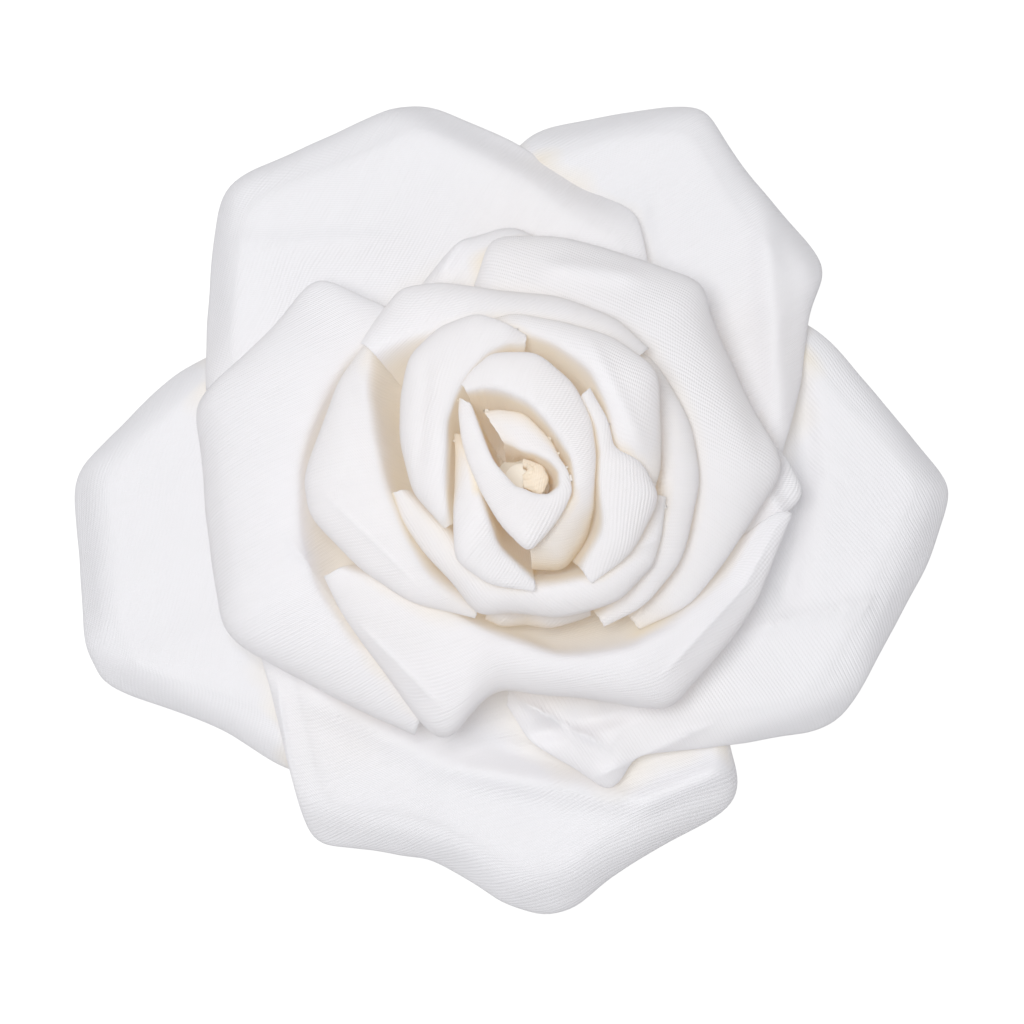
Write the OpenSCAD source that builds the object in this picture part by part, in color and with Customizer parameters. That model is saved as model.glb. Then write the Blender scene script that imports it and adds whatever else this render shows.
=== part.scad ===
// Rose hair clip: a satin rose of raw-cut, heat-curled petals threaded on a stem,
// glued through a felt pad to a sprung alligator clip.
// +Z runs up the flower's axis, +X along the clip to its jaw's tip, and the lowest point is at z = 0.
// A petal is given by stations round its rim: [bearing, ridge radius, ridge height, edge radius,
// edge height]. The ridge is the crest where the cloth rolls over, and the edge is its cut rim.
// Bearings are in degrees from +X, the rest in mm, with heights above the felt pad's face.

/* [Petals] */
// Thickness of the petal cloth as a solid
cloth_t = 0.45; // [0.3:0.05:0.5]
// How freely a rim swings between its stations: 0 is straight, 0.5 is round
slack = 0.26; // [0.15:0.01:0.4]

/* [Flower] */
// Radius of the stem that the petals are threaded on
stem_r = 3; // [2.8:0.1:3.4]
// Height of the stem above the felt
stem_h = 21; // [20.5:0.5:22]
// Radius of the disc at the foot of the stem
disc_r = 8; // [6:0.5:10]
// Radius of the felt pad
felt_r = 19; // [16:0.5:22]
// Thickness of the felt pad
felt_t = 1.4; // [1:0.1:2]
// Shift that centres the flower over the origin, along X
flower_x = 1.1; // [0:0.1:2]
// Shift that centres the flower over the origin, along Y
flower_y = 0; // [-2:0.1:2]

/* [Clip] */
// Height of the fixed arm's underside
arm_z = 10; // [9.8:0.1:11]
// Thickness of the clip's sheet steel
steel_t = 0.8; // [0.6:0.1:0.9]
// Length of the fixed arm
arm_l = 48; // [46:1:52]
// Width of the fixed arm
arm_w = 8.2; // [8.2:0.1:9]
// Distance of the hinge behind the clip's middle
pin_back = 4; // [3:0.5:5]
// Radius of the hinge pin
pin_r = 1; // [0.9:0.05:1.1]
// Radial clearance of the moving jaw on its pin
pin_gap = 0.05; // [0.03:0.01:0.08]
// Radius of the spring's wire
wire_r = 0.3; // [0.2:0.05:0.3]

/* [Hidden] */

glue_t = 0.3;                               // hot glue between the arm and the felt
felt_z = arm_z + steel_t + glue_t;          // underside of the felt pad
flower_z = felt_z + felt_t;                 // face of the felt, where the flower starts
root_sink = 0.3;                            // depth of a petal's root in the stem
columns_per_station = 2;                    // columns of cloth between two stations
rows_up = 6;                                // rows of cloth from the root to the ridge
rows_over = 5;                              // rows of cloth from the ridge to the cut edge
rows = rows_up + rows_over;

pin_x = -pin_back;
pin_z = arm_z - 3.1;
ear_t = 0.7;                                // folded ears of the sheet steel
ear_r = 2.4;
jaw_w = arm_w - 2 * ear_t - 0.6;            // jaw width between the arm's ears
jaw_tip_x = arm_l / 2 + 0.5;
head_r = 1.6;                               // rivet heads of the pin
head_t = 0.4;
coil_r = 1.65;                              // mean radius of the spring's coil
coil_turns = 6;
tooth_h = 0.9;

// Petals of the outer ring, from the lowest to the highest in the overlap: 5, 4, 3, 2, 1
OUTER_1 = [[62, 25, 9.5, 29.5, 8.7], [69, 29.5, 10, 34.5, 8], [80, 31.5, 10, 36.5, 7],
    [92, 36, 9.5, 41, 6], [105, 42, 9, 47, 4], [119, 42, 8.5, 47, 3], [133, 43.5, 8, 48.5, 3],
    [148, 37, 8, 41.5, 3], [160, 33, 7.5, 37.5, 3.5]];
OUTER_2 = [[10, 25, 8, 29, 6.5], [22, 28.5, 8, 33, 5], [33, 33, 7.5, 38, 3.5],
    [40, 37.5, 7, 43.5, 2], [56, 40.5, 6.5, 45.5, 1.5], [66, 44.5, 6, 49.5, 1],
    [76, 41.5, 6, 46.5, 1], [88, 37, 5.5, 42.5, 1.5], [100, 30, 5.5, 34, 3]];
OUTER_3 = [[-94, 20.5, 5, 22.5, 4.5], [-88, 22.5, 6, 26.3, 4.6], [-79, 26, 6.5, 29.8, 4.2],
    [-73, 29, 7, 33, 4], [-65, 27, 7, 31, 4.5], [-49, 31, 6, 35.5, 3], [-33, 37.5, 5, 42.5, 0.5],
    [-8, 40, 4.5, 45.5, -0.5], [3, 43, 4, 48, -0.5], [12, 39, 4, 44, -0.5], [30, 34, 4, 39, 0.5],
    [44, 30, 4, 34, 1.5]];
OUTER_4 = [[-154, 30, 5.5, 33, 4.5], [-142, 31, 5.5, 35, 3.5], [-123, 38, 3, 43, -1],
    [-112, 36, 3, 41, -1], [-103, 36, 3, 40.5, -1], [-87, 40.5, 3, 45.5, -1.5],
    [-71, 36.5, 3, 41, -1], [-54, 35.5, 2.5, 40, -1], [-46, 28, 2.5, 32, 0]];
OUTER_5 = [[146, 31, 3, 35, 1], [158, 37, 2.5, 41.5, -1], [175, 45, 2.5, 50, -2],
    [186, 45, 2.5, 50, -2], [197, 46, 2, 51, -2], [203, 45, 2, 50, -2], [215, 37, 1.5, 42, -2],
    [230, 34, 1, 38.5, -1.5], [240, 29, 1, 33, -0.5]];

// Petals of the middle ring
MIDDLE_1 = [[127, 23, 15.5, 25.5, 14.5], [134, 24, 16.5, 32.4, 13.5], [148, 24.3, 18, 33, 14],
    [164, 24.6, 18.5, 37, 12.5], [176, 25, 18.5, 35, 12.5], [192, 25.4, 18, 34.8, 12],
    [206, 25.8, 17.5, 35.5, 11.5], [226, 25.5, 15, 30.5, 10.5], [246, 24, 13, 29, 10]];
MIDDLE_2 = [[-50, 18.8, 15, 19.8, 14.4], [-34, 19.6, 16.8, 22, 15.6], [-15, 19.8, 18.5, 24, 16],
    [5, 19.6, 20, 28.5, 14.5], [22, 19.4, 20.5, 26.6, 15], [40, 19.6, 20.5, 27.8, 15],
    [50, 20, 20.5, 30, 14.5], [64, 20.2, 20, 28.5, 15], [81, 20.5, 19.5, 28.2, 15],
    [96, 21, 19, 27.9, 15], [103, 21, 18, 23, 16.5]];
MIDDLE_3 = [[-155, 22, 19, 23.7, 18], [-142, 18.6, 19.8, 24, 17], [-109, 17, 20, 28.5, 13.5],
    [-97, 17.6, 20, 22.3, 15.5], [-78, 19.8, 19.5, 23.3, 15], [-57, 22, 18, 28.2, 12.5],
    [-44, 23, 16.5, 27.8, 12.5], [-30, 24, 15, 28, 12], [-14, 26.5, 13, 29, 12]];
MIDDLE_4 = [[80, 22, 14, 27, 12], [92, 22, 15.5, 29.5, 12.5], [104, 22, 15.5, 28.5, 12.5],
    [116, 22, 14.5, 25.5, 12.5]];

MIDDLE_5 = [[-9, 24.5, 10.5, 26.5, 9.6], [0, 25.5, 11.5, 30.6, 10], [8, 25.5, 11.5, 29.5, 10],
    [16, 25, 10.5, 27, 9.8]];

// Petals of the inner ring
INNER_1 = [[46, 17.5, 25.5, 19.5, 23.5], [60, 17, 26, 20, 23.5], [78, 16.6, 26.5, 20, 23.5],
    [97, 17, 26.5, 20.5, 23.5], [112, 17.8, 26.3, 23, 23], [122, 18.8, 26, 24.5, 22.8],
    [131, 20, 25.8, 23.6, 23], [140, 21.2, 25.4, 22.6, 24.4]];
INNER_2 = [[138, 22, 21.6, 22.8, 21], [150, 19.8, 23.8, 22.6, 21.5], [163, 17.5, 24.8, 22.3, 22],
    [179, 15.8, 25.3, 23.4, 21.5], [190, 15, 25.3, 22.8, 21.5], [208, 14.6, 24.8, 19.8, 21.8],
    [228, 15, 23.6, 17.6, 21.6], [251, 15.2, 21, 15.6, 20.6]];
INNER_3 = [[-173, 13.2, 25, 14, 24.4], [-160, 11.6, 25.6, 13.6, 24.4],
    [-144, 10.6, 26, 13.2, 24.4], [-126, 11.2, 26.2, 13.4, 24.4], [-108, 11.9, 26.4, 15.2, 23.2],
    [-92, 12.4, 26.4, 14.6, 23.6], [-74, 12.9, 26.3, 15.6, 23.4], [-53, 14, 26, 16.6, 23.6],
    [-36, 14.6, 25.4, 16.8, 23.8], [-22, 14.9, 25, 16, 24], [-8, 15, 24.6, 15.4, 24.4]];
INNER_4 = [[-60, 17.2, 19, 17.7, 18.6], [-45, 16.6, 20.8, 18.6, 19.6], [-25, 16, 22.4, 19, 20.6],
    [0, 15.8, 23.2, 19, 21.2], [20, 16, 23.6, 19, 21.6], [40, 17.4, 23.5, 19.2, 22],
    [54, 18.2, 22, 19.2, 21]];

INNER_5 = [[-105, 13.8, 20, 15, 18], [-98, 13.8, 20.4, 15.4, 17.8], [-88, 13.6, 19, 15, 16.8],
    [-78, 14.2, 20.6, 15.8, 18], [-63, 15, 20, 16, 18.4]];

// Petals of the bud
BUD_1 = [[89, 13.8, 30.4, 14.3, 30.2], [97, 13.8, 31.6, 15.6, 30.8],
    [107, 13.2, 32.2, 17.3, 30], [120, 12, 32.5, 17.6, 29.5],
    [134, 10.8, 32.5, 17, 29.5], [149, 9.8, 32.5, 15, 29.5], [167, 8.8, 32.5, 13.2, 29.5],
    [190, 8.8, 31.5, 11.7, 29], [208, 9.4, 30, 10.4, 28.8], [216, 9.8, 28.5, 10.1, 28.2]];
BUD_2 = [[-8, 12.6, 27.4, 14, 26], [3, 11.8, 29, 14.7, 26.8], [16, 10.9, 31, 15.4, 27.5],
    [37, 11.8, 32, 17.8, 28.5], [56, 13.2, 32, 17.2, 29], [76, 14.3, 31, 16.5, 29],
    [94, 15.6, 29.4, 16.9, 28.4], [110, 15.6, 28, 16.6, 27.4]];
BUD_3 = [[-58, 12.4, 27.2, 13.8, 26.9], [-36, 11, 30, 14.3, 27.6], [-12, 8.8, 31.8, 14.6, 28.8],
    [2, 8.6, 32.2, 12.6, 30.2], [12, 8.8, 32.4, 10, 31.6], [30, 9.3, 32.6, 10.2, 32],
    [50, 10.2, 32.4, 11, 31.8]];
BUD_4 = [[150, 7.5, 28.2, 8.2, 27.8], [159, 6.5, 30, 7.5, 29], [175, 5.6, 31.2, 7, 29.4],
    [196, 5.3, 31.6, 7.3, 29.4], [214, 5.8, 31.5, 8.6, 29.8], [234, 6.9, 31.5, 11.6, 29],
    [254, 9.2, 30, 12.4, 28.5], [276, 12.2, 28.2, 12.8, 27.9]];

// Curls of the core
CORE_1 = [[-84, 4.8, 29, 9.8, 23.4], [-66, 5.6, 29.2, 10.6, 23.2], [-48, 6.4, 29.8, 9.6, 24.4],
    [-30, 6.6, 31.2, 8.5, 28.8], [-14, 6.1, 32.6, 7.7, 31.2], [10, 5.6, 33.4, 7.8, 32],
    [36, 5.3, 33.8, 8.8, 32.2], [60, 5.8, 34.2, 10.2, 32.4], [83, 7, 34.4, 12, 32.4],
    [104, 8.6, 34, 12.4, 32.2], [116, 9.6, 33.2, 11.6, 32.4], [126, 10.3, 32.6, 10.8, 32.3]];
CORE_2 = [[131, 8.8, 32.4, 9.9, 31.6], [139, 6.6, 33, 8.7, 32], [154, 4.6, 33.4, 7, 32.2],
    [176, 3.3, 33.6, 5.6, 32.2], [212, 2.4, 33.4, 5, 32], [250, 2.6, 33, 6.4, 31.4],
    [274, 2.9, 33, 8.6, 30.8], [292, 3.6, 33, 7.3, 31.2], [312, 4.5, 33, 6.3, 31.8],
    [332, 4.8, 33, 5.7, 32.4], [352, 4.2, 33, 4.7, 32.6], [372, 3.2, 33, 3.9, 32.4],
    [405, 2.2, 32.8, 4, 31.6], [448, 2, 32.4, 5.6, 31], [472, 2.8, 32, 6.6, 30.8],
    [484, 3.6, 31.6, 7.2, 30.6]];
CORE_3 = [[-85, 0.5, 29.2, 1.7, 29], [-50, 0.5, 29.6, 3.1, 28.8], [-18, 0.6, 29.8, 2.9, 28.8],
    [12, 0.7, 29.6, 2.2, 29], [45, 0.6, 29.2, 1.4, 29], [85, 0.6, 29, 1.3, 28.8]];

// Forms: how far a wall bellies out before it rises, the roll before the ridge in mm, and how far
// the rim bulges past the line from ridge to edge in mm
FORM_OUTER = [0.5, 9, 0.8];
FORM_MIDDLE = [0.92, 1.8, 0];
FORM_INNER = [0.8, 1.8, 0];
FORM_BUD = [0.8, 1, 0];
FORM_CORE = [0.7, 0.8, 0];
FORM_HEART = [-0.5, 0.3, 0];
FORM_LOW = [0.5, 4, 0];

// Point at a bearing, a distance from the flower's axis and a height
function spot(a, r, z) = [r * cos(a), r * sin(a), z];

// Unit vector along v
function unit(v) = v / max(norm(v), 0.0001);

// Point at share t between b and c on the rim line that also passes a and d
function rim_line(a, b, c, d, t) =
    (2 * t^3 - 3 * t^2 + 1) * b + (t^3 - 2 * t^2 + t) * slack * (c - a)
    + (3 * t^2 - 2 * t^3) * c + (t^3 - t^2) * slack * (d - b);

// Point at place s along a list of points, where whole numbers are the points themselves
function along(list, s) =
    let (last = len(list) - 1, i = min(floor(s), last - 1))
    rim_line(list[max(i - 1, 0)], list[i], list[i + 1], list[min(i + 2, last)], s - i);

// Cubic Bezier curve
function bezier(a, b, c, d, t) =
    (1 - t)^3 * a + 3 * (1 - t)^2 * t * b + 3 * (1 - t) * t^2 * c + t^3 * d;

// One column of the cloth, from its root in the stem, up over the ridge and down to the cut edge
function column(root, ridge, edge, form) =
    let (
        radial = unit([root.x, root.y, 0]),
        out = unit([edge.x - ridge.x, edge.y - ridge.y, 0] + 2 * radial),
        run = norm([ridge.x - root.x, ridge.y - root.y]),
        over = norm([edge.x - ridge.x, edge.y - ridge.y]),
        drop = ridge.z - edge.z,
        belly = root + form[0] * run * radial,
        before = ridge - form[1] * out,
        after = ridge + 0.45 * over * out,
        fall = edge + form[2] * out + [0, 0, 0.55 * drop]
    )
    concat(
        [for (k = [0 : rows_up - 1]) bezier(root, belly, before, ridge, k / rows_up)],
        [for (k = [0 : rows_over]) bezier(ridge, after, fall, edge, k / rows_over)]);

// Grid of the cloth's middle surface, one column after another
function cloth(stations, root_z, form) =
    let (
        roots = [for (p = stations) spot(p[0], stem_r - root_sink, root_z)],
        ridges = [for (p = stations) spot(p[0], p[1], p[2])],
        edges = [for (p = stations) spot(p[0], p[3], p[4])],
        last = (len(stations) - 1) * columns_per_station
    )
    [for (i = [0 : last]) let (s = i / columns_per_station)
        column(along(roots, s), along(ridges, s), along(edges, s), form)];

// Upward normal of the cloth at column i, row j
function cloth_normal(grid, i, j) =
    let (
        last = len(grid) - 1,
        down_line = grid[i][min(j + 1, rows)] - grid[i][max(j - 1, 0)],
        round_line = grid[min(i + 1, last)][j] - grid[max(i - 1, 0)][j]
    )
    unit(cross(down_line, round_line));

// Two triangles over the four corners a, b, c and d
function patch(a, b, c, d) = [[a, b, c], [a, c, d]];

// A petal: the cloth grid with its thickness, closed round its four sides
module petal(stations, root_z, form) {
    grid = cloth(stations, root_z, form);
    last = len(grid) - 1;
    row_n = rows + 1;
    layer_n = (last + 1) * row_n;
    function id(layer, i, j) = layer * layer_n + i * row_n + j;
    points = [for (side = [0.5, -0.5]) for (i = [0 : last]) for (j = [0 : rows])
        grid[i][j] + side * cloth_t * cloth_normal(grid, i, j)];
    upper = [for (i = [0 : last - 1]) for (j = [0 : rows - 1])
        each patch(id(0, i, j), id(0, i + 1, j), id(0, i + 1, j + 1), id(0, i, j + 1))];
    lower = [for (i = [0 : last - 1]) for (j = [0 : rows - 1])
        each patch(id(1, i, j + 1), id(1, i + 1, j + 1), id(1, i + 1, j), id(1, i, j))];
    root_side = [for (i = [0 : last - 1])
        each patch(id(0, i + 1, 0), id(0, i, 0), id(1, i, 0), id(1, i + 1, 0))];
    edge_side = [for (i = [0 : last - 1])
        each patch(id(0, i, rows), id(0, i + 1, rows), id(1, i + 1, rows), id(1, i, rows))];
    first_side = [for (j = [0 : rows - 1])
        each patch(id(0, 0, j), id(0, 0, j + 1), id(1, 0, j + 1), id(1, 0, j))];
    last_side = [for (j = [0 : rows - 1])
        each patch(id(0, last, j + 1), id(0, last, j), id(1, last, j), id(1, last, j + 1))];
    color("ivory") translate([flower_x, flower_y, flower_z])
        polyhedron(points, concat(upper, lower, root_side, edge_side, first_side, last_side));
}

module outer_petal_1() { petal(OUTER_1, 4, FORM_OUTER); }
module outer_petal_2() { petal(OUTER_2, 3.3, FORM_OUTER); }
module outer_petal_3() { petal(OUTER_3, 2.6, FORM_OUTER); }
module outer_petal_4() { petal(OUTER_4, 1.9, FORM_OUTER); }
module outer_petal_5() { petal(OUTER_5, 1.2, FORM_OUTER); }
module middle_petal_1() { petal(MIDDLE_1, 5.4, FORM_MIDDLE); }
module middle_petal_2() { petal(MIDDLE_2, 6.8, FORM_MIDDLE); }
module middle_petal_3() { petal(MIDDLE_3, 6.1, FORM_MIDDLE); }
module middle_petal_4() { petal(MIDDLE_4, 4.7, FORM_MIDDLE); }
module middle_petal_5() { petal(MIDDLE_5, 4.7, FORM_LOW); }
module inner_petal_1() { petal(INNER_1, 9.2, FORM_INNER); }
module inner_petal_2() { petal(INNER_2, 8.4, FORM_INNER); }
module inner_petal_3() { petal(INNER_3, 10, FORM_INNER); }
module inner_petal_4() { petal(INNER_4, 7.6, FORM_INNER); }
module inner_petal_5() { petal(INNER_5, 6.9, FORM_INNER); }
module bud_petal_1() { petal(BUD_1, 14, FORM_BUD); }
module bud_petal_2() { petal(BUD_2, 13, FORM_BUD); }
module bud_petal_3() { petal(BUD_3, 15, FORM_BUD); }
module bud_petal_4() { petal(BUD_4, 16, FORM_BUD); }
module core_petal_1() { petal(CORE_1, 17, FORM_CORE); }
module core_petal_2() { petal(CORE_2, 18, FORM_CORE); }
module core_petal_3() { petal(CORE_3, 16.3, FORM_HEART); }

// Moulded stem: a disc that sits on the felt and a peg that the petals are threaded on
module flower_stem() {
    color("beige") translate([flower_x, flower_y, flower_z])
        rotate_extrude($fn = 64)
            polygon([[0, 0], [disc_r, 0], [disc_r, 0.5], [disc_r - 0.4, 0.8], [stem_r, 0.8],
                [stem_r, stem_h - 1], [stem_r - 1, stem_h], [0, stem_h]]);
}

module felt_pad() {
    color("white") translate([flower_x, flower_y, felt_z])
        cylinder(r = felt_r, h = felt_t, $fn = 96);
}

// Flat strip with round ends, centred on x = 0
module strip(length, width, height) {
    linear_extrude(height) {
        square([length - width, width], center = true);
        for (side = [-1, 1])
            translate([side * (length - width) / 2, 0]) circle(d = width, $fn = 64);
    }
}

module glue_layer() {
    color("wheat") translate([0, 0, arm_z + steel_t]) strip(arm_l - 14, arm_w + 1.6, glue_t);
}

// Ear folded from a strip: its flat stands in the XZ plane at side * y
module ear(y, side, top_z, bore_r) {
    translate([pin_x, side * (y - ear_t / 2), 0]) rotate([90, 0, 0])
        linear_extrude(ear_t, center = true) difference() {
            union() {
                translate([0, pin_z]) circle(r = ear_r, $fn = 64);
                translate([-ear_r, min(pin_z, top_z)]) square([2 * ear_r, abs(top_z - pin_z)]);
            }
            translate([0, pin_z]) circle(r = bore_r, $fn = 64);
        }
}

module clip_arm() {
    color("silver") {
        translate([0, 0, arm_z]) strip(arm_l, arm_w, steel_t);
        for (side = [-1, 1])
            ear(arm_w / 2, side, arm_z + 0.1, pin_r);
    }
}

// Bent profile of the moving jaw, from its tip, under the hinge and out along the handle
jaw_line = [[jaw_tip_x, arm_z - 1.3], [10, arm_z - 2], [1.5, arm_z - 6], [-8, arm_z - 7],
    [-15, 1.4], [-24, 0]];

module clip_jaw() {
    outline = concat(jaw_line, [for (k = [len(jaw_line) - 1 : -1 : 0]) jaw_line[k] + [0, steel_t]]);
    color("silver") {
        rotate([90, 0, 0]) linear_extrude(jaw_w, center = true) polygon(outline);
        for (side = [-1, 1]) {
            ear(jaw_w / 2, side, arm_z - 6.3, pin_r + pin_gap);
            jaw_teeth(side);
        }
    }
}

// Row of teeth along one side of the jaw, pointing up at the arm
module jaw_teeth(side) {
    for (k = [0 : 5])
        translate([12.5 + 2 * k, side * (jaw_w / 2 - 0.35), arm_z - 1.25 + 0.045 * k])
            rotate([90, 0, 0]) linear_extrude(0.7, center = true)
                polygon([[-0.8, -0.6], [0.8, -0.6], [0, tooth_h]]);
}

module hinge_pin() {
    reach = arm_w / 2;
    color("gray") translate([pin_x, 0, pin_z]) rotate([90, 0, 0]) {
        cylinder(r = pin_r, h = 2 * reach, center = true, $fn = 64);
        for (side = [-1, 1])
            translate([0, 0, side * (reach + head_t / 2)])
                cylinder(r = head_r, h = head_t, center = true, $fn = 48);
    }
}

// Close-wound coil round the pin, with a leg under the arm and a leg on the handle
module clip_spring() {
    half_w = wire_r * coil_turns;
    leg_y = half_w - 1.5 * wire_r;
    leg_r = 0.8 * wire_r;                   // thinner than the coil's wall, so that it starts inside it
    color("gray") {
        translate([pin_x, 0, pin_z]) rotate([90, 0, 0])
            rotate_extrude($fn = 48)
                translate([coil_r - wire_r, -half_w]) square([2 * wire_r, 2 * half_w]);
        translate([pin_x, leg_y, pin_z + coil_r]) rotate([0, -85, 0])
            cylinder(r = leg_r, h = 10, $fn = 16);
        translate([pin_x, -leg_y, pin_z - coil_r]) rotate([0, -103.5, 0])
            cylinder(r = leg_r, h = 9, $fn = 16);
    }
}

outer_petal_1();
outer_petal_2();
outer_petal_3();
outer_petal_4();
outer_petal_5();
middle_petal_1();
middle_petal_2();
middle_petal_3();
middle_petal_4();
middle_petal_5();
inner_petal_1();
inner_petal_2();
inner_petal_3();
inner_petal_4();
inner_petal_5();
bud_petal_1();
bud_petal_2();
bud_petal_3();
bud_petal_4();
core_petal_1();
core_petal_2();
core_petal_3();
flower_stem();
felt_pad();
glue_layer();
clip_arm();
clip_jaw();
hinge_pin();
clip_spring();
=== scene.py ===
import math

import bmesh
import bpy
from mathutils import Matrix, Vector, noise
from mathutils.bvhtree import BVHTree


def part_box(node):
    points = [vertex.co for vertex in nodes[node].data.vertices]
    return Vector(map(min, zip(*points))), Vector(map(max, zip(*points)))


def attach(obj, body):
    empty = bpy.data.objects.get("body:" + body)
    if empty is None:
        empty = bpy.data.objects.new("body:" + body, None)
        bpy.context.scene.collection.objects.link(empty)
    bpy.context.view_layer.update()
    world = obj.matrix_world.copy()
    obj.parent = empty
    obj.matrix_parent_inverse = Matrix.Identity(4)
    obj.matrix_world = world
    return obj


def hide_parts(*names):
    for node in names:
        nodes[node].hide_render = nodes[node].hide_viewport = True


MM = 0.001
SOLID_THICK = 0.45 * MM   # thickness of a petal's solid in the frame
CLOTH_THICK = 0.24 * MM   # thickness of the real satin
THREAD_PITCH = 0.38 * MM  # spacing of the satin's raised threads
SAME_PLACE = 0.001 * MM   # points closer than this are one point

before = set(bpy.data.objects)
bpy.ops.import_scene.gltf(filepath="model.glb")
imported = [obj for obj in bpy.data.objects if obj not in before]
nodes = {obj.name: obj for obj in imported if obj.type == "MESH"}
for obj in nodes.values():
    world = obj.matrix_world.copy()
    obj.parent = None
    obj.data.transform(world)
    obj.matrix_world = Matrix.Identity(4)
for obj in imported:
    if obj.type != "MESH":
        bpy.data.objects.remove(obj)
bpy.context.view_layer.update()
scene = bpy.context.scene


# ---------------------------------------------------------------- node helpers

class Graph:
    """A small builder for one node tree."""

    def __init__(self, tree):
        self.tree = tree
        self.count = 0

    def add(self, kind, **settings):
        node = self.tree.nodes.new(kind)
        self.count += 1
        node.location = (190 * (self.count % 6), -170 * (self.count // 6))
        for key, value in settings.items():
            setattr(node, key, value)
        return node

    def link(self, source, target):
        self.tree.links.new(source, target)

    def math(self, operation, a, b=None, clamp=False):
        node = self.add("ShaderNodeMath", operation=operation, use_clamp=clamp)
        for socket, value in zip(node.inputs, (a, b)):
            if value is None:
                continue
            if isinstance(value, (int, float)):
                socket.default_value = value
            else:
                self.link(value, socket)
        return node.outputs[0]

    def ramp(self, source, low, high, out_low=0.0, out_high=1.0):
        node = self.add("ShaderNodeMapRange", clamp=True)
        self.link(source, node.inputs["Value"])
        for name, value in (("From Min", low), ("From Max", high),
                            ("To Min", out_low), ("To Max", out_high)):
            node.inputs[name].default_value = value
        return node.outputs["Result"]

    def blend(self, factor, first, second, mode="MIX"):
        node = self.add("ShaderNodeMix", data_type="RGBA", blend_type=mode)
        for name, value in (("Factor_Float", factor), ("A_Color", first), ("B_Color", second)):
            socket = next(s for s in node.inputs if s.identifier == name)
            if isinstance(value, (int, float)):
                socket.default_value = value
            elif isinstance(value, tuple):
                socket.default_value = (*value, 1.0)
            else:
                self.link(value, socket)
        return next(s for s in node.outputs if s.identifier == "Result_Color")

    def noise(self, vector, scale, detail=2.0, rough=0.5):
        node = self.add("ShaderNodeTexNoise")
        node.inputs["Scale"].default_value = scale
        node.inputs["Detail"].default_value = detail
        node.inputs["Roughness"].default_value = rough
        self.link(vector, node.inputs["Vector"])
        return node.outputs["Fac"]


def new_group(name, inputs, outputs):
    """A shader node group with named sockets."""
    tree = bpy.data.node_groups.new(name, "ShaderNodeTree")
    for label, kind, value in inputs:
        socket = tree.interface.new_socket(label, in_out="INPUT", socket_type=kind)
        if value is not None:
            socket.default_value = value
    for label, kind in outputs:
        tree.interface.new_socket(label, in_out="OUTPUT", socket_type=kind)
    graph = Graph(tree)
    return tree, graph, graph.add("NodeGroupInput"), graph.add("NodeGroupOutput")


def place_group(graph, tree, **values):
    node = graph.add("ShaderNodeGroup")
    node.node_tree = tree
    for name, value in values.items():
        socket = node.inputs[name.replace("_", " ")]
        if isinstance(value, (int, float)):
            socket.default_value = value
        else:
            graph.link(value, socket)
    return node


def new_material(name, colour, rough, metallic=0.0, **constants):
    """A Principled material and its graph."""
    material = bpy.data.materials.new(name)
    material.use_nodes = True
    graph = Graph(material.node_tree)
    shader = material.node_tree.nodes["Principled BSDF"]
    shader.inputs["Base Color"].default_value = (*colour, 1)
    shader.inputs["Roughness"].default_value = rough
    shader.inputs["Metallic"].default_value = metallic
    for key, value in constants.items():
        shader.inputs[key.replace("_", " ")].default_value = value
    return material, graph, shader


def add_bump(graph, shader, height, strength, distance):
    bump = graph.add("ShaderNodeBump")
    bump.inputs["Strength"].default_value = strength
    bump.inputs["Distance"].default_value = distance
    graph.link(height, bump.inputs["Height"])
    graph.link(bump.outputs["Normal"], shader.inputs["Normal"])


# ---------------------------------------------------------------- shared effects

def thread_group():
    """Raised threads of a satin weave along one way of the cloth, with slubs and a cross thread."""
    tree, g, given, out = new_group(
        "satin_threads",
        [("Cloth", "NodeSocketVector", None), ("Pitch", "NodeSocketFloat", THREAD_PITCH)],
        [("Height", "NodeSocketFloat"), ("Streak", "NodeSocketFloat")])
    cloth = given.outputs["Cloth"]
    wander = g.noise(cloth, 260.0, 2.0)
    split = g.add("ShaderNodeSeparateXYZ")
    g.link(cloth, split.inputs[0])
    along, across = split.outputs[0], split.outputs[1]
    turns = g.math("DIVIDE", across, given.outputs["Pitch"])
    shifted = g.math("ADD", turns, g.math("MULTIPLY", wander, 0.8))
    ridge = g.math("SINE", g.math("MULTIPLY", shifted, 2 * math.pi))
    cross = g.math("DIVIDE", along, g.math("MULTIPLY", given.outputs["Pitch"], 0.62))
    rib = g.math("SINE", g.math("MULTIPLY", g.math("ADD", cross, shifted), 2 * math.pi))
    stretch = g.add("ShaderNodeMapping")
    stretch.inputs["Scale"].default_value = (140.0, 2600.0, 1.0)
    g.link(cloth, stretch.inputs["Vector"])
    streak = g.noise(stretch.outputs[0], 1.0, 3.0, 0.6)
    lines = g.math("ADD", g.math("MULTIPLY", ridge, 0.24), g.math("MULTIPLY", rib, 0.20))
    g.link(g.math("ADD", lines, streak), out.inputs["Height"])
    g.link(streak, out.inputs["Streak"])
    return tree


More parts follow.
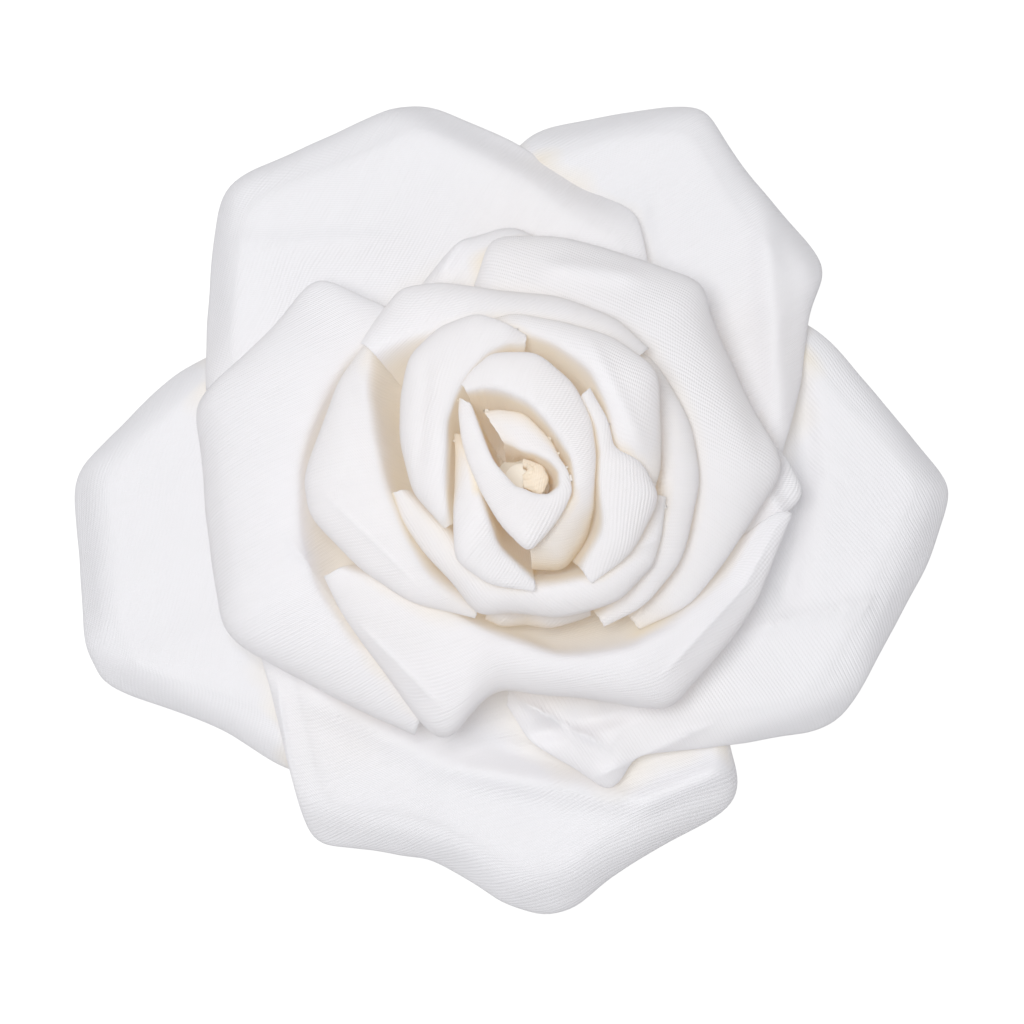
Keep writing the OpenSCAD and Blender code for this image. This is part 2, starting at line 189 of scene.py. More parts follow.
def patch_group():
    """Soft uneven patches, for colour and gloss that vary over a surface."""
    tree, g, given, out = new_group(
        "soft_patches",
        [("Place", "NodeSocketVector", None), ("Size", "NodeSocketFloat", 300.0)],
        [("Patch", "NodeSocketFloat"), ("Grain", "NodeSocketFloat")])
    big = g.add("ShaderNodeTexNoise")
    big.inputs["Detail"].default_value = 3.0
    g.link(given.outputs["Place"], big.inputs["Vector"])
    g.link(given.outputs["Size"], big.inputs["Scale"])
    fine = g.add("ShaderNodeTexNoise")
    fine.inputs["Detail"].default_value = 4.0
    g.link(given.outputs["Place"], fine.inputs["Vector"])
    g.link(g.math("MULTIPLY", given.outputs["Size"], 14.0), fine.inputs["Scale"])
    g.link(big.outputs["Fac"], out.inputs["Patch"])
    g.link(fine.outputs["Fac"], out.inputs["Grain"])
    return tree


THREADS = thread_group()
PATCHES = patch_group()


# ---------------------------------------------------------------- finishes

def satin():
    """Ivory satin: neutral on open faces, painted cream shade where petals shade each other, threads in
    relief.
    """
    material, g, shader = new_material(
        "ivory_satin", (0.9, 0.9, 0.9), 0.42, Sheen_Weight=0.15, Sheen_Roughness=0.4)
    shader.inputs["Specular IOR Level"].default_value = 0.42
    cloth = g.add("ShaderNodeUVMap", uv_map="cloth").outputs["UV"]
    place = g.add("ShaderNodeTexCoord").outputs["Object"]
    open_sky = g.add("ShaderNodeAttribute", attribute_name="open_sky").outputs["Fac"]
    threads = place_group(g, THREADS, Cloth=cloth)
    patches = place_group(g, PATCHES, Place=place, Size=120.0)
    # painted shade: where open_sky is low the cloth's colour is painted cream, and on open faces it
    # stays neutral white
    painted_shade = g.ramp(open_sky, 0.10, 0.72, 1.0, 0.0)
    soft = g.math("MULTIPLY", painted_shade, g.ramp(patches.outputs["Patch"], 0.3, 0.7, 0.9, 1.1))
    tone = g.blend(g.ramp(soft, 0.0, 1.0), (0.945, 0.94, 0.975), (0.975, 0.86, 0.66))
    streaky = g.blend(g.ramp(threads.outputs["Streak"], 0.3, 0.7, 0.0, 0.05), tone, (0.72, 0.71, 0.70))
    g.link(streaky, shader.inputs["Base Color"])
    g.link(g.ramp(threads.outputs["Streak"], 0.25, 0.75, 0.34, 0.50), shader.inputs["Roughness"])
    add_bump(g, shader, threads.outputs["Height"], 0.95, 0.0001)
    # the translucent share takes the same colour, painted cream shade included
    glow = g.add("ShaderNodeBsdfTranslucent")
    g.link(streaky, glow.inputs["Color"])
    mix = g.add("ShaderNodeMixShader")
    mix.inputs[0].default_value = 0.55
    output = material.node_tree.nodes["Material Output"]
    g.link(shader.outputs[0], mix.inputs[1])
    g.link(glow.outputs[0], mix.inputs[2])
    g.link(mix.outputs[0], output.inputs["Surface"])
    return material


def moulded_stem():
    """Cream moulded plastic, a little uneven in colour and gloss."""
    material, g, shader = new_material("cream_moulding", (0.80, 0.72, 0.55), 0.55)
    place = g.add("ShaderNodeTexCoord").outputs["Object"]
    patches = place_group(g, PATCHES, Place=place, Size=350.0)
    tone = g.blend(patches.outputs["Patch"], (0.83, 0.76, 0.60), (0.74, 0.65, 0.47))
    g.link(tone, shader.inputs["Base Color"])
    g.link(g.ramp(patches.outputs["Grain"], 0.3, 0.7, 0.45, 0.65), shader.inputs["Roughness"])
    add_bump(g, shader, patches.outputs["Grain"], 0.35, 0.0001)
    return material


def craft_felt():
    """White pressed felt with matted fibres."""
    material, g, shader = new_material(
        "white_felt", (0.86, 0.855, 0.83), 0.95, Sheen_Weight=0.35, Sheen_Roughness=0.6)
    shader.inputs["Specular IOR Level"].default_value = 0.15
    place = g.add("ShaderNodeTexCoord").outputs["Object"]
    patches = place_group(g, PATCHES, Place=place, Size=260.0)
    cells = g.add("ShaderNodeTexVoronoi", feature="DISTANCE_TO_EDGE")
    cells.inputs["Scale"].default_value = 1500.0
    g.link(place, cells.inputs["Vector"])
    tone = g.blend(patches.outputs["Grain"], (0.80, 0.795, 0.765), (0.92, 0.915, 0.89))
    g.link(tone, shader.inputs["Base Color"])
    fibres = g.math("ADD", patches.outputs["Grain"], g.math("MULTIPLY", cells.outputs["Distance"], 0.8))
    add_bump(g, shader, fibres, 0.8, 0.0002)
    return material


def hot_glue():
    """Milky hot glue, slightly see-through."""
    material, g, shader = new_material("milky_glue", (0.86, 0.83, 0.72), 0.22, IOR=1.48)
    shader.inputs["Subsurface Weight"].default_value = 0.5
    shader.inputs["Subsurface Radius"].default_value = (1.0, 0.8, 0.6)
    shader.inputs["Subsurface Scale"].default_value = 0.001
    place = g.add("ShaderNodeTexCoord").outputs["Object"]
    patches = place_group(g, PATCHES, Place=place, Size=220.0)
    g.link(g.blend(patches.outputs["Patch"], (0.88, 0.86, 0.77), (0.82, 0.78, 0.66)),
           shader.inputs["Base Color"])
    add_bump(g, shader, patches.outputs["Patch"], 0.4, 0.0004)
    return material


def plated_steel(name, colour, rough, brush):
    """Nickel plated steel with drawn lines along X, patchy gloss and tiny scuffs."""
    material, g, shader = new_material(name, colour, rough, metallic=1.0)
    place = g.add("ShaderNodeTexCoord").outputs["Object"]
    patches = place_group(g, PATCHES, Place=place, Size=180.0)
    drawn = g.add("ShaderNodeMapping")
    drawn.inputs["Scale"].default_value = brush
    g.link(place, drawn.inputs["Vector"])
    lines = g.noise(drawn.outputs[0], 1.0, 4.0, 0.6)
    dull = tuple(c * 0.8 for c in colour)
    uneven = g.ramp(patches.outputs["Patch"], 0.35, 0.75)
    g.link(g.blend(uneven, colour, dull), shader.inputs["Base Color"])
    worn = g.math("ADD", g.ramp(lines, 0.3, 0.7, rough - 0.08, rough + 0.1),
                  g.ramp(patches.outputs["Grain"], 0.6, 0.8, 0.0, 0.12))
    g.link(worn, shader.inputs["Roughness"])
    add_bump(g, shader, lines, 0.15, 0.00003)
    return material


SATIN = satin()
STEM = moulded_stem()
FELT = craft_felt()
GLUE = hot_glue()
CLIP = plated_steel("nickel_plate", (0.74, 0.745, 0.75), 0.27, (60.0, 5000.0, 5000.0))
PIN = plated_steel("rivet_steel", (0.66, 0.665, 0.67), 0.34, (2500.0, 2500.0, 2500.0))
WIRE = plated_steel("drawn_wire", (0.56, 0.565, 0.58), 0.36, (3000.0, 900.0, 3000.0))


# ---------------------------------------------------------------- mesh helpers

def new_piece(name, mesh, material, body, slot, *stands_for):
    """Links a finished mesh as a piece of the object."""
    piece = bpy.data.objects.new(name, mesh)
    scene.collection.objects.link(piece)
    mesh.materials.clear()
    mesh.materials.append(material)
    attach(piece, body)
    if stands_for:
        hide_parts(*stands_for)
    return piece


def finished(obj):
    """The mesh of obj with its modifiers applied; obj itself goes."""
    bpy.context.view_layer.update()
    graph = bpy.context.evaluated_depsgraph_get()
    mesh = bpy.data.meshes.new_from_object(obj.evaluated_get(graph))
    bpy.data.objects.remove(obj)
    return mesh


def smooth(mesh, angle=None):
    mesh.polygons.foreach_set("use_smooth", [True] * len(mesh.polygons))
    if angle is not None:
        mesh.set_sharp_from_angle(angle=math.radians(angle))


# ---------------------------------------------------------------- petals

WALL_SLACK = 0.003 * MM  # how far a wall's edge may be off the solid's thickness
STEEP_TURN = 0.9         # radians between a wall and the sheet beside it


def is_wall(face):
    """True for a face of the narrow wall round the edge of a petal's solid."""
    def steep(f, skip):
        return any(e is not skip and len(e.link_faces) == 2 and e.calc_face_angle(0) > STEEP_TURN
                   for e in f.edges)
    for edge in face.edges:
        if abs(edge.calc_length() - SOLID_THICK) < WALL_SLACK:
            if all(steep(f, edge) for f in edge.link_faces):
                return True
    return False


def outer_side(bm):
    """Keeps the side of the solid that faces up and out, as an open sheet."""
    bmesh.ops.delete(bm, geom=[f for f in bm.faces if is_wall(f)], context="FACES")
    left, islands = set(bm.faces), []
    while left:
        stack, island = [left.pop()], []
        while stack:
            face = stack.pop()
            island.append(face)
            for edge in face.edges:
                for other in edge.link_faces:
                    if other in left:
                        left.discard(other)
                        stack.append(other)
        islands.append(island)
    islands.sort(key=lambda faces: sum(f.normal.z * f.calc_area() for f in faces))
    drop = [f for island in islands[:-1] for f in island]
    bmesh.ops.delete(bm, geom=drop, context="FACES")


def join_quads(bm):
    """Takes out the one diagonal of each pair of triangles in the regular sheet."""
    start = next(f for f in bm.faces if sum(e.is_boundary for e in f.edges) == 2)
    kinds = {}
    first = next(i for i, loop in enumerate(start.loops) if not loop.edge.is_boundary)
    stack = [(start, first, 2)]
    seen = {start}
    while stack:
        face, index, kind = stack.pop()
        loops = list(face.loops)
        for step in range(3):
            loop = loops[(index + step) % 3]
            kinds[loop.edge] = (kind + step) % 3
            other = loop.link_loop_radial_next
            if other.face not in seen:
                seen.add(other.face)
                stack.append((other.face, list(other.face.loops).index(other), (kind + step) % 3))
    diagonals = [e for e, kind in kinds.items() if kind == 2 and not e.is_boundary]
    bmesh.ops.dissolve_edges(bm, edges=diagonals, use_verts=False)


def lay_flat(mesh, thread):
    """Unrolls the sheet into the UV map "cloth" at real size, with the threads at angle thread
    (degrees from +X, seen from above) at the petal's middle."""
    holder = bpy.data.objects.new("unroll", mesh)
    scene.collection.objects.link(holder)
    bpy.context.view_layer.objects.active = holder
    holder.select_set(True)
    bpy.ops.object.mode_set(mode="EDIT")
    bpy.ops.mesh.select_all(action="SELECT")
    bpy.ops.uv.unwrap(method="ANGLE_BASED", margin=0.0)
    bpy.ops.object.mode_set(mode="OBJECT")
    bpy.data.objects.remove(holder)
    bm = bmesh.new()
    bm.from_mesh(mesh)
    uv = bm.loops.layers.uv["cloth"]

    def flat_area(face):
        total, loops = 0.0, face.loops
        for a, b in zip(loops, list(loops)[1:] + [loops[0]]):
            total += a[uv].uv.x * b[uv].uv.y - b[uv].uv.x * a[uv].uv.y
        return total / 2
    scale = math.sqrt(sum(f.calc_area() for f in bm.faces) / abs(sum(flat_area(f) for f in bm.faces)))
    # how the flat cloth's own X lies, seen from above, averaged over the faces that look up
    aim = Vector((math.cos(math.radians(thread)), math.sin(math.radians(thread))))
    turn = Vector((0.0, 0.0))
    for face in bm.faces:
        if face.normal.z < 0.5:
            continue
        a, b, c = face.loops[0], face.loops[1], face.loops[-1]
        e1, e2 = b.vert.co - a.vert.co, c.vert.co - a.vert.co
        u1, u2 = b[uv].uv - a[uv].uv, c[uv].uv - a[uv].uv
        flat = Matrix(((u1.x, u2.x), (u1.y, u2.y)))
        seen = Matrix(((e1.x, e2.x), (e1.y, e2.y)))
        if abs(flat.determinant()) < 1e-12 or abs(seen.determinant()) < 1e-12:
            continue
        way = flat @ (seen.inverted() @ aim)
        turn += way.normalized() * face.calc_area()
    angle = math.atan2(turn.y, turn.x)
    spin = Matrix.Rotation(-angle, 2)
    for face in bm.faces:
        for loop in face.loops:
            loop[uv].uv = (spin @ loop[uv].uv) * scale
    bm.to_mesh(mesh)
    bm.free()


def cut_size(mesh):
    """Smallest upright rectangle, over a turn of the flat cloth, that holds the cut petal."""
    points = [Vector(d.uv) for d in mesh.uv_layers["cloth"].data]
    best = None
    for step in range(0, 90, 3):
        spin = Matrix.Rotation(math.radians(step), 2)
        turned = [spin @ p for p in points]
        w = max(p.x for p in turned) - min(p.x for p in turned)
        h = max(p.y for p in turned) - min(p.y for p in turned)
        if best is None or w * h < best[0] * best[1]:
            best = (w, h)
    return best


SKY_RAYS = 40
GOLDEN_ANGLE = 2.399963  # radians; spreads the rays evenly round the sky
RAY_START = 0.6 * MM     # lifts a ray's start off the cloth
RAY_REACH = 30 * MM

# how much more cream shade is painted on the cloth than its openness alone gives, towards the heart
HEART_SHADE = {"outer": -0.06, "middle": 0.0, "inner": 0.06, "bud": 0.10, "core": 0.16}


def open_sky(mesh, tree, extra_shade):
    """Share of the sky that each point sees past the other petals, kept as an attribute that paints
    shade on the satin, and lowered by extra_shade for more painted shade, most of all on the upright
    walls."""
    rays = []
    for k in range(SKY_RAYS):
        up = 1 - (k + 0.5) / SKY_RAYS
        round_way = k * GOLDEN_ANGLE
        out = math.sqrt(1 - up * up)
        rays.append(Vector((out * math.cos(round_way), out * math.sin(round_way), up)))
    layer = mesh.attributes.new("open_sky", "FLOAT", "POINT")
    for v in mesh.vertices:
        start = v.co + v.normal * RAY_START
        clear = 0.0
        for ray in rays:
            hit = tree.ray_cast(start, ray, RAY_REACH)
            if hit[0] is None:
                clear += 1.0
            else:
                clear += min(1.0, hit[3] / RAY_REACH) * 0.5
        # painted shade: upright walls take the most extra shade
        upright = 1 - max(0.0, v.normal.z)
        layer.data[v.index].value = clear / len(rays) - extra_shade * (0.6 + 1.8 * upright)


def rounded_through(mesh, levels):
    """Subdivides a sheet so that it still passes through its own points, corners and rims kept."""
    holder = bpy.data.objects.new("round", mesh)
    scene.collection.objects.link(holder)
    sub = holder.modifiers.new("round", "SUBSURF")
    sub.levels = sub.render_levels = 2
    sub.boundary_smooth = "PRESERVE_CORNERS"
    aims = [v.co.copy() for v in mesh.vertices]
    for again in range(4):
        bpy.context.view_layer.update()
        graph = bpy.context.evaluated_depsgraph_get()
        trial = holder.evaluated_get(graph).to_mesh()
        pulls = [aim - trial.vertices[i].co for i, aim in enumerate(aims)]
        for v, pull in zip(mesh.vertices, pulls):
            v.co = v.co + pull * 0.85
        mesh.update()
    sub.levels = sub.render_levels = levels
    return finished(holder)


def soft_step(x):
    x = min(1.0, max(0.0, x))
    return x * x * (3 - 2 * x)


def crease(point, fold):
    """Height of one fold at a point seen from above: (x1, y1, x2, y2, width, height), in mm.
    A positive width is a soft roll, a negative one a sharp pinch."""
    x1, y1, x2, y2, width, height = fold
    ax, ay = point.x / MM - x1, point.y / MM - y1
    dx, dy = x2 - x1, y2 - y1
    length2 = dx * dx + dy * dy
    t = (ax * dx + ay * dy) / length2
    fade = soft_step((t + 0.15) / 0.35) * soft_step((1.15 - t) / 0.35)
    if fade <= 0:
        return 0.0
    off = abs(ax * dy - ay * dx) / math.sqrt(length2) / abs(width)
    if off > 3:
        return 0.0
    shape = math.exp(-off * off * 1.5) if width > 0 else math.exp(-2.2 * off)
    return height * MM * fade * shape


def tugged(point, tug):
    """How far a point moves when the cloth is pulled: (x, y, reach, dx, dy, dz), in mm."""
    x, y, reach, dx, dy, dz = tug
    away = math.hypot(point.x / MM - x, point.y / MM - y) / reach
    return Vector((dx, dy, dz)) * (MM * soft_step(1 - away))


def rumple(mesh, seed, amount, folds, fray, tugs):
    """Soft waves along the normals, the petal's own folds and pulls, and a slightly frayed edge."""
    bm = bmesh.new()
    bm.from_mesh(mesh)
    bm.normal_update()
    shift = Vector((seed * 17.3, seed * 5.1, seed * 9.7))
    moves = []
    for v in bm.verts:
        far = noise.noise(v.co * 95 + shift) * 0.30 + noise.noise(v.co * 240 + shift) * 0.10
        move = v.normal * (far * amount * MM)
        for fold in folds:
            move = move + Vector((0, 0, crease(v.co, fold)))
        for tug in tugs:
            move = move + tugged(v.co, tug)
        moves.append(move)
    for v in [v for v in bm.verts if v.is_boundary]:
        inward = Vector((0, 0, 0))
        for e in v.link_edges:
            if not e.is_boundary:
                inward = (e.other_vert(v).co - v.co).normalized()
        n = noise.noise(v.co * 2600 + shift) + 0.6 * noise.noise(v.co * 900 + shift)
        moves[v.index] = moves[v.index] + inward * (n * fray * MM)
    for v, move in zip(bm.verts, moves):
        v.co = v.co + move
    bm.normal_update()
    bm.to_mesh(mesh)
    bm.free()


# name: thread angle, waviness, fray
PETALS = {
    "outer_petal_1": (60, 1.0, 0.07),
    "outer_petal_2": (35, 1.0, 0.07),
    "outer_petal_3": (-55, 1.0, 0.07),
    "outer_petal_4": (20, 1.0, 0.07),
    "outer_petal_5": (75, 1.0, 0.07),
    "middle_petal_1": (30, 0.9, 0.07),
    "middle_petal_2": (-30, 0.9, 0.07),
    "middle_petal_3": (20, 0.9, 0.07),
    "middle_petal_4": (50, 0.7, 0.06),
    "middle_petal_5": (60, 0.7, 0.06),
    "inner_petal_1": (40, 0.7, 0.06),
    "inner_petal_2": (10, 0.7, 0.06),
    "inner_petal_3": (-40, 0.7, 0.06),
    "inner_petal_4": (0, 0.7, 0.06),
    "inner_petal_5": (50, 0.6, 0.06),
    "bud_petal_1": (70, 0.5, 0.06),
    "bud_petal_2": (-20, 0.5, 0.06),
    "bud_petal_3": (80, 0.4, 0.06),
    "bud_petal_4": (60, 0.4, 0.06),
    "core_petal_1": (45, 0.4, 0.03),
    "core_petal_2": (60, 0.4, 0.11),
    "core_petal_3": (90, 0.3, 0.02),
}

# folds pressed or rolled into a petal, seen from above: (x1, y1, x2, y2, width, height) in mm
FOLDS = {
    "outer_petal_1": [
        (-32, 28, -13, 29, 1.8, 0.8),       # soft fold across the left half
        (-17, 49, 14, 33, 2.8, -2.6),       # rim rolled under along the top
        (-34, 38, -34, 17, 2.4, -2.2),      # rim rolled under at the left
        (-34, 36, -18, 45, 1.8, -1.0),
    ],
    "outer_petal_2": [
        (14, 34, 16, 26, 1.5, 0.8),
        (28, 33, 30, 7, 2.0, 1.4),          # raised fold down the right side
        (25, 46, 36, 26, 2.4, -2.0),
        (2, 43, 22, 47, 2.4, -1.8),
    ],
    "outer_petal_3": [
        (26, -14.5, 42, -11, -1.0, 1.3),    # pinched crease
        (40, 20, 50.5, 2, 3.2, -3.0),
        (50.5, 2, 42, -18, 3.0, -2.6),
        (40, -23, 24, -29, 2.4, -2.4),
        (32, 15, 33, 2, 2.0, -2.0),         # channel beside the middle petals
        (33, 3, 30, -12, 1.8, -1.8),
        (1, -22.5, 10, -27.5, -1.1, 1.9),   # crumpled pocket
        (2, -26, 13, -23.5, 1.4, -1.8),
        (9, -31, 22, -25, -1.2, 1.1),
    ],
    "outer_petal_4": [
        (-24, -21, -7, -29.5, 1.8, 1.3),    # roll along the top, with a valley behind it
        (-7, -29.5, 14, -33.5, 1.6, 1.9),
        (-3, -26.5, 12, -30, 1.4, -1.8),
        (14, -33.5, 24, -29.5, 1.6, 1.6),
        (-26, -21, -24, -33, -1.4, 1.2),
        (-25, -36, -6, -41, 2.6, -2.4),
        (-8, -40.5, 4, -47, 2.6, -2.4),
        (3, -47, 26, -34, 3.0, -2.8),
        (27, -34, 26, -26, 2.4, -2.0),
    ],
    "outer_petal_5": [
        (-49.5, 5, -48, -14, 2.6, -2.4),
        (-49, 6, -34, 19, 2.6, -2.0),
        (-48, -18, -24, -31, 2.4, -2.0),
    ],
    "middle_petal_1": [
        (-19, 13, -20, -9, 2.2, -0.8),
        (-25, -5, -14, -20, -1.4, 0.8),
        (-35, 12, -32, -13, 1.8, -0.8),
    ],
    "middle_petal_2": [
        (4, 24, 14, 23, 1.5, 0.8),
        (22, 20, 28, 4, 2.0, -0.8),
    ],
    "middle_petal_3": [
        (-16, -16, -8, -24, -1.2, 0.8),
        (17, -20, 27, -9, -1.2, 0.8),
    ],
    "inner_petal_2": [(-20, -2, -11, -11, -1.2, 0.5), (-18, 12, -15, 0, 1.2, -0.5)],
    "inner_petal_3": [(6, -10, 16, -7, -1.0, 0.5)],
    "bud_petal_1": [(-9, 12, -10, -1, 1.0, -0.4)],
    "bud_petal_2": [(8, 14, 14, 2, 1.2, 0.5)],
    "middle_petal_4": [(-8, 24, -5, 29, 1.1, 1.2)],
    "middle_petal_5": [(26, 3, 31, -4, 1.3, 1.0)],
}

# places where the cloth is pulled: (x, y, reach, dx, dy, dz) in mm
TUGS = {
    "middle_petal_3": [(29, -7, 6, 1.5, 5, -1)],
    "inner_petal_3": [(16, -13, 4, 0.8, 1.6, -1.5)],
    "inner_petal_5": [(10, -12, 4, 0.8, 1.2, -1.5)],
    "outer_petal_4": [(3, -44, 5, 0, 0.6, 0)],
}


def petal_tree():
    """All petals of the frame as one shape, to tell which places lie open to the sky."""
    bm = bmesh.new()
    for name in PETALS:
        bm.from_mesh(nodes[name].data)
    tree = BVHTree.FromBMesh(bm)
    bm.free()
    return tree


def petal(name, number, tree):
    """One satin petal made from its solid, and the size of the cloth it was cut from."""
    thread, amount, fray = PETALS[name]
    bm = bmesh.new()
    bm.from_mesh(nodes[name].data)
    bmesh.ops.remove_doubles(bm, verts=bm.verts, dist=SAME_PLACE)
    outer_side(bm)
    join_quads(bm)
    for face in bm.faces:
        face.smooth = True
    for layer in list(bm.loops.layers.uv):
        bm.loops.layers.uv.remove(layer)
    bm.loops.layers.uv.new("cloth")
    bm.normal_update()
    mesh = bpy.data.meshes.new(name + "_satin")
    bm.to_mesh(mesh)
    bm.free()
    lay_flat(mesh, thread)
    size = cut_size(mesh)
    open_sky(mesh, tree, HEART_SHADE[name.split("_")[0]])
    mesh = rounded_through(mesh, 3)
    plain_area = sum(p.area for p in mesh.polygons)
    rumple(mesh, number, amount, FOLDS.get(name, []), fray, TUGS.get(name, []))
    smooth(mesh)
    piece = new_piece(name + "_satin", mesh, SATIN, "flower", "satin", name)
    wall = piece.modifiers.new("cloth", "SOLIDIFY")
    wall.thickness = CLOTH_THICK
    wall.offset = -1.0
    wall.use_even_offset = False
    # the rims and folds take up more cloth than the plain petal did
    taken_up = math.sqrt(sum(p.area for p in mesh.polygons) / plain_area)
    return piece, [side * taken_up for side in size]


sky = petal_tree()
for number, name in enumerate(PETALS):
    piece, size = petal(name, number, sky)


# ---------------------------------------------------------------- stem, felt and clip

def dressed(name, material):
    """A node whose shape is right keeps its mesh and takes a better finish."""
    node = nodes[name]
    for index in range(len(node.data.materials)):
        node.data.materials[index] = material
    if not node.data.materials:
        node.data.materials.append(material)


def eased(name, material, body, slot, width, segments=2):
    """A copy of a hard part with its sharp edges rounded."""
    bm = bmesh.new()
    bm.from_mesh(nodes[name].data)
    bmesh.ops.remove_doubles(bm, verts=bm.verts, dist=SAME_PLACE)
    bmesh.ops.dissolve_limit(bm, angle_limit=math.radians(1), verts=bm.verts, edges=bm.edges)
    mesh = bpy.data.meshes.new(name + "_eased")
    bm.to_mesh(mesh)
    bm.free()
    holder = bpy.data.objects.new("eased", mesh)
    scene.collection.objects.link(holder)
    edge = holder.modifiers.new("ease", "BEVEL")
    edge.width = width
    edge.segments = segments
    edge.limit_method = "ANGLE"
    edge.angle_limit = math.radians(35)
    edge.use_clamp_overlap = True
    mesh = finished(holder)
    smooth(mesh, 40)
    return new_piece(name + "_eased", mesh, material, body, slot, name)


def felt():
    """Pressed felt disc, cut by hand: matted faces, a soft uneven edge."""
    lo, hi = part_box("felt_pad")
    spare = 0.06 * MM    # keeps the rough faces inside the pad's own space
    middle = Vector(((lo[0] + hi[0]) / 2, (lo[1] + hi[1]) / 2, hi[2] - spare))
    radius = (hi[1] - lo[1]) / 2 - 0.15 * MM
    bm = bmesh.new()
    bmesh.ops.create_circle(bm, cap_ends=True, segments=160, radius=radius)
    for ring in range(15):
        cap = max(bm.faces, key=lambda f: len(f.verts))
        bmesh.ops.inset_region(bm, faces=[cap], thickness=radius / 17, use_even_offset=True)
    cap = max(bm.faces, key=lambda f: len(f.verts))
    bmesh.ops.poke(bm, faces=[cap])
    bmesh.ops.translate(bm, verts=bm.verts, vec=middle)
    for v in bm.verts:
        outward = Vector((v.co.x - middle.x, v.co.y - middle.y, 0))
        if v.is_boundary:
            rough = noise.noise(v.co * 900) * 0.14 + noise.noise(v.co * 3000) * 0.08
            v.co += outward.normalized() * (rough * MM)
        v.co.z += noise.noise(v.co * 700) * 0.05 * MM
    for face in bm.faces:
        face.smooth = True
    bm.normal_update()
    mesh = bpy.data.meshes.new("felt_disc")
    bm.to_mesh(mesh)
    bm.free()
    piece = new_piece("felt_disc", mesh, FELT, "flower", "felt", "felt_pad")
    wall = piece.modifiers.new("felt", "SOLIDIFY")
    wall.thickness = hi[2] - lo[2] - 2 * spare
    wall.offset = -1.0
    soft_rim = piece.modifiers.new("rim", "BEVEL")
    soft_rim.width = 0.22 * MM
    soft_rim.segments = 2
    soft_rim.angle_limit = math.radians(50)


COIL_TURNS = 3.5
COIL_RADIUS = 1.65 * MM
WIRE_RADIUS = 0.39 * MM
STEPS_A_TURN = 30
UPPER_LEG = 9.8 * MM
LOWER_LEG = 8.8 * MM


def wire_end(bm, ring, way, length):
    """Draws the wire on from its last ring in a straight line and closes it."""
    drawn = bmesh.ops.extrude_edge_only(bm, edges=ring)["geom"]
    verts = [g for g in drawn if isinstance(g, bmesh.types.BMVert)]
    edges = [g for g in drawn if isinstance(g, bmesh.types.BMEdge) and g.is_boundary]
    bmesh.ops.translate(bm, verts=verts, vec=way * length)
    bmesh.ops.contextual_create(bm, geom=edges)


def wire_start(centre):
    """A ring of the wire's section, square to X."""
    bm = bmesh.new()
    bmesh.ops.create_circle(bm, segments=16, radius=WIRE_RADIUS)
    turn = Matrix.Translation(centre) @ Matrix.Rotation(math.radians(90), 4, "Y")
    bmesh.ops.transform(bm, matrix=turn, verts=bm.verts)
    return bm


def spring_piece(bm, name, body, *stands_for):
    """Finishes a length of wire as a piece."""
    bmesh.ops.recalc_face_normals(bm, faces=bm.faces)
    mesh = bpy.data.meshes.new(name)
    bm.to_mesh(mesh)
    bm.free()
    smooth(mesh, 50)
    return new_piece(name, mesh, WIRE, body, "spring_wire", *stands_for)


def spring():
    """Torsion spring wound round the pin: the coil and its upper leg stay with the arm, and the
    lower leg turns with the jaw, out of the coil's last turn."""
    lo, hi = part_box("hinge_pin")
    pin = (Vector(lo) + Vector(hi)) / 2
    half = WIRE_RADIUS * COIL_TURNS
    steps = int(COIL_TURNS * STEPS_A_TURN)
    bm = wire_start(pin + Vector((0, half, COIL_RADIUS)))
    first = list(bm.edges)
    wound = bmesh.ops.spin(bm, geom=list(bm.verts) + first, cent=pin, axis=(0, 1, 0),
                           dvec=(0, -2 * half / steps, 0), angle=2 * math.pi * COIL_TURNS,
                           steps=steps, use_merge=False, use_duplicate=False)
    last = [g for g in wound["geom_last"] if isinstance(g, bmesh.types.BMEdge)]
    up = math.radians(5)
    wire_end(bm, first, Vector((-math.cos(up), 0, math.sin(up))), UPPER_LEG)
    bmesh.ops.contextual_create(bm, geom=last)
    spring_piece(bm, "spring_coil", "flower", "clip_spring")

    bm = wire_start(pin + Vector((0, -half, -COIL_RADIUS)))
    ring = list(bm.edges)
    bmesh.ops.contextual_create(bm, geom=ring)
    down = math.radians(13.5)
    wire_end(bm, ring, Vector((-math.cos(down), 0, -math.sin(down))), LOWER_LEG)
    spring_piece(bm, "spring_lower_leg", "jaw")


dressed("flower_stem", STEM)
dressed("glue_layer", GLUE)
felt()
spring()
eased("clip_arm", CLIP, "flower", "clip_steel", 0.12 * MM)
eased("clip_jaw", CLIP, "jaw", "clip_steel", 0.12 * MM)
eased("hinge_pin", PIN, "flower", "pin_steel", 0.15 * MM)


# ---------------------------------------------------------------- floor, light and camera

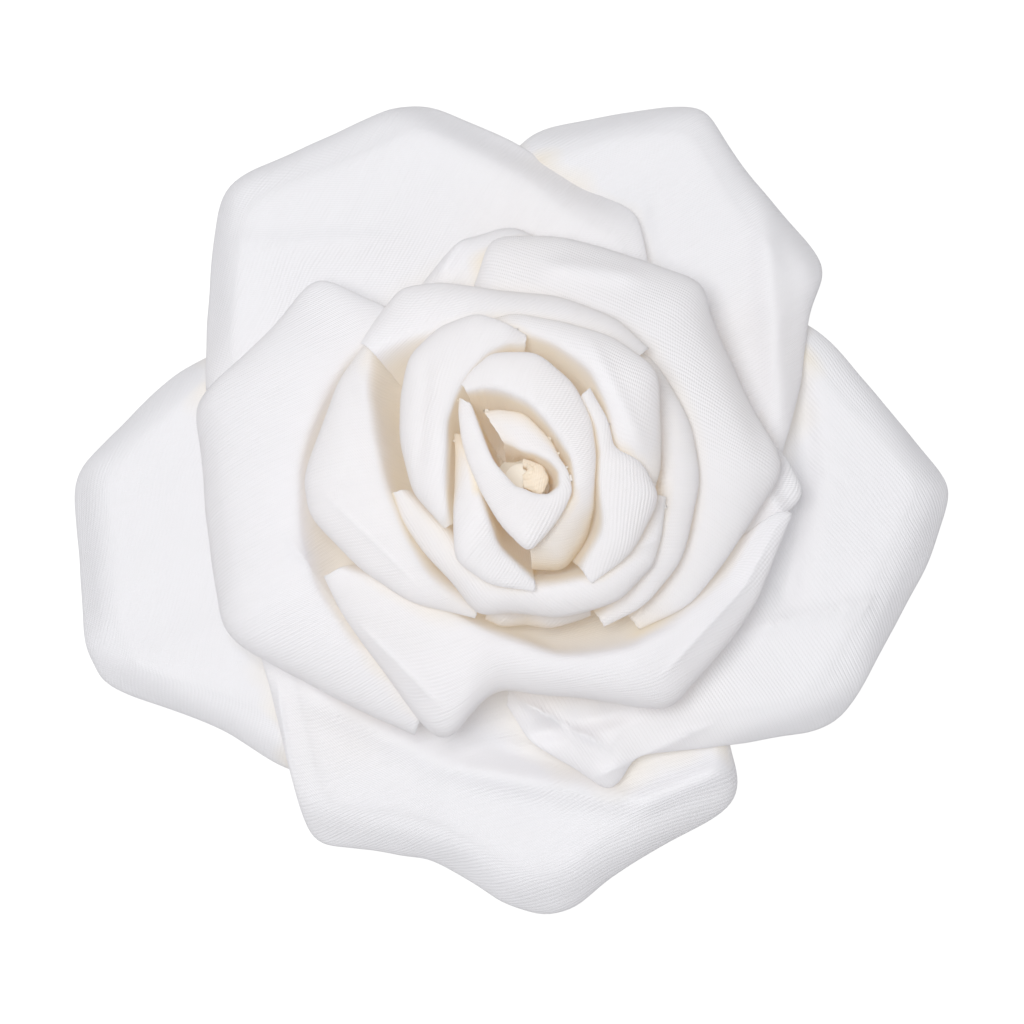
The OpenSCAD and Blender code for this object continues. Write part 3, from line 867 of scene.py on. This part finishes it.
def floor():
    """Plain pale floor, bright to the camera and dim to the flower."""
    bm = bmesh.new()
    bmesh.ops.create_grid(bm, x_segments=1, y_segments=1, size=3.0)
    mesh = bpy.data.meshes.new("floor")
    bm.to_mesh(mesh)
    bm.free()
    obj = bpy.data.objects.new("floor", mesh)
    scene.collection.objects.link(obj)
    material, g, shader = new_material("pale_floor", (0.12, 0.12, 0.12), 0.9)
    shader.inputs["Emission Color"].default_value = (1, 1, 1, 1)
    seen = g.add("ShaderNodeLightPath").outputs["Is Camera Ray"]
    g.link(g.ramp(seen, 0.0, 1.0, 0.2, 1.0), shader.inputs["Emission Strength"])
    mesh.materials.append(material)


def soft_light(name, place, size, power, colour):
    light = bpy.data.lights.new(name, "AREA")
    light.shape = "DISK"
    light.size = size
    light.energy = power
    light.color = colour
    obj = bpy.data.objects.new(name, light)
    scene.collection.objects.link(obj)
    obj.location = place
    aim = Vector((0, 0, 0.02)) - Vector(place)
    obj.rotation_euler = aim.to_track_quat("-Z", "Y").to_euler()


def studio():
    """Soft round light from above in a dim white room."""
    world = bpy.data.worlds.new("studio")
    world.use_nodes = True
    background = world.node_tree.nodes["Background"]
    background.inputs["Color"].default_value = (0.985, 0.99, 1.0, 1)
    g = Graph(world.node_tree)
    seen = g.add("ShaderNodeLightPath").outputs["Is Camera Ray"]
    g.link(g.ramp(seen, 0.0, 1.0, 0.24, 1.0), background.inputs["Strength"])
    scene.world = world
    soft_light("window", (-0.09, -0.04, 0.65), 0.22, 4.5, (1.0, 1.0, 1.0))
    scene.view_settings.view_transform = "Standard"
    scene.view_settings.gamma = 2.0
    # light goes many times between the petals before it leaves the flower
    scene.cycles.max_bounces = 20
    scene.cycles.diffuse_bounces = 14
    scene.cycles.transmission_bounces = 14


def camera():
    """A long lens almost straight above the flower, tilted a little to the front."""
    tilt = math.radians(82)
    distance = 0.6
    target = Vector((0.0, -0.00135, 0.0195))
    data = bpy.data.cameras.new("camera")
    data.sensor_width = 36
    data.lens = 189.8
    obj = bpy.data.objects.new("camera", data)
    scene.collection.objects.link(obj)
    back = Vector((0, -math.cos(tilt), math.sin(tilt)))
    obj.location = target + back * distance
    obj.rotation_euler = (-back).to_track_quat("-Z", "Y").to_euler()
    scene.camera = obj


floor()
studio()
camera()
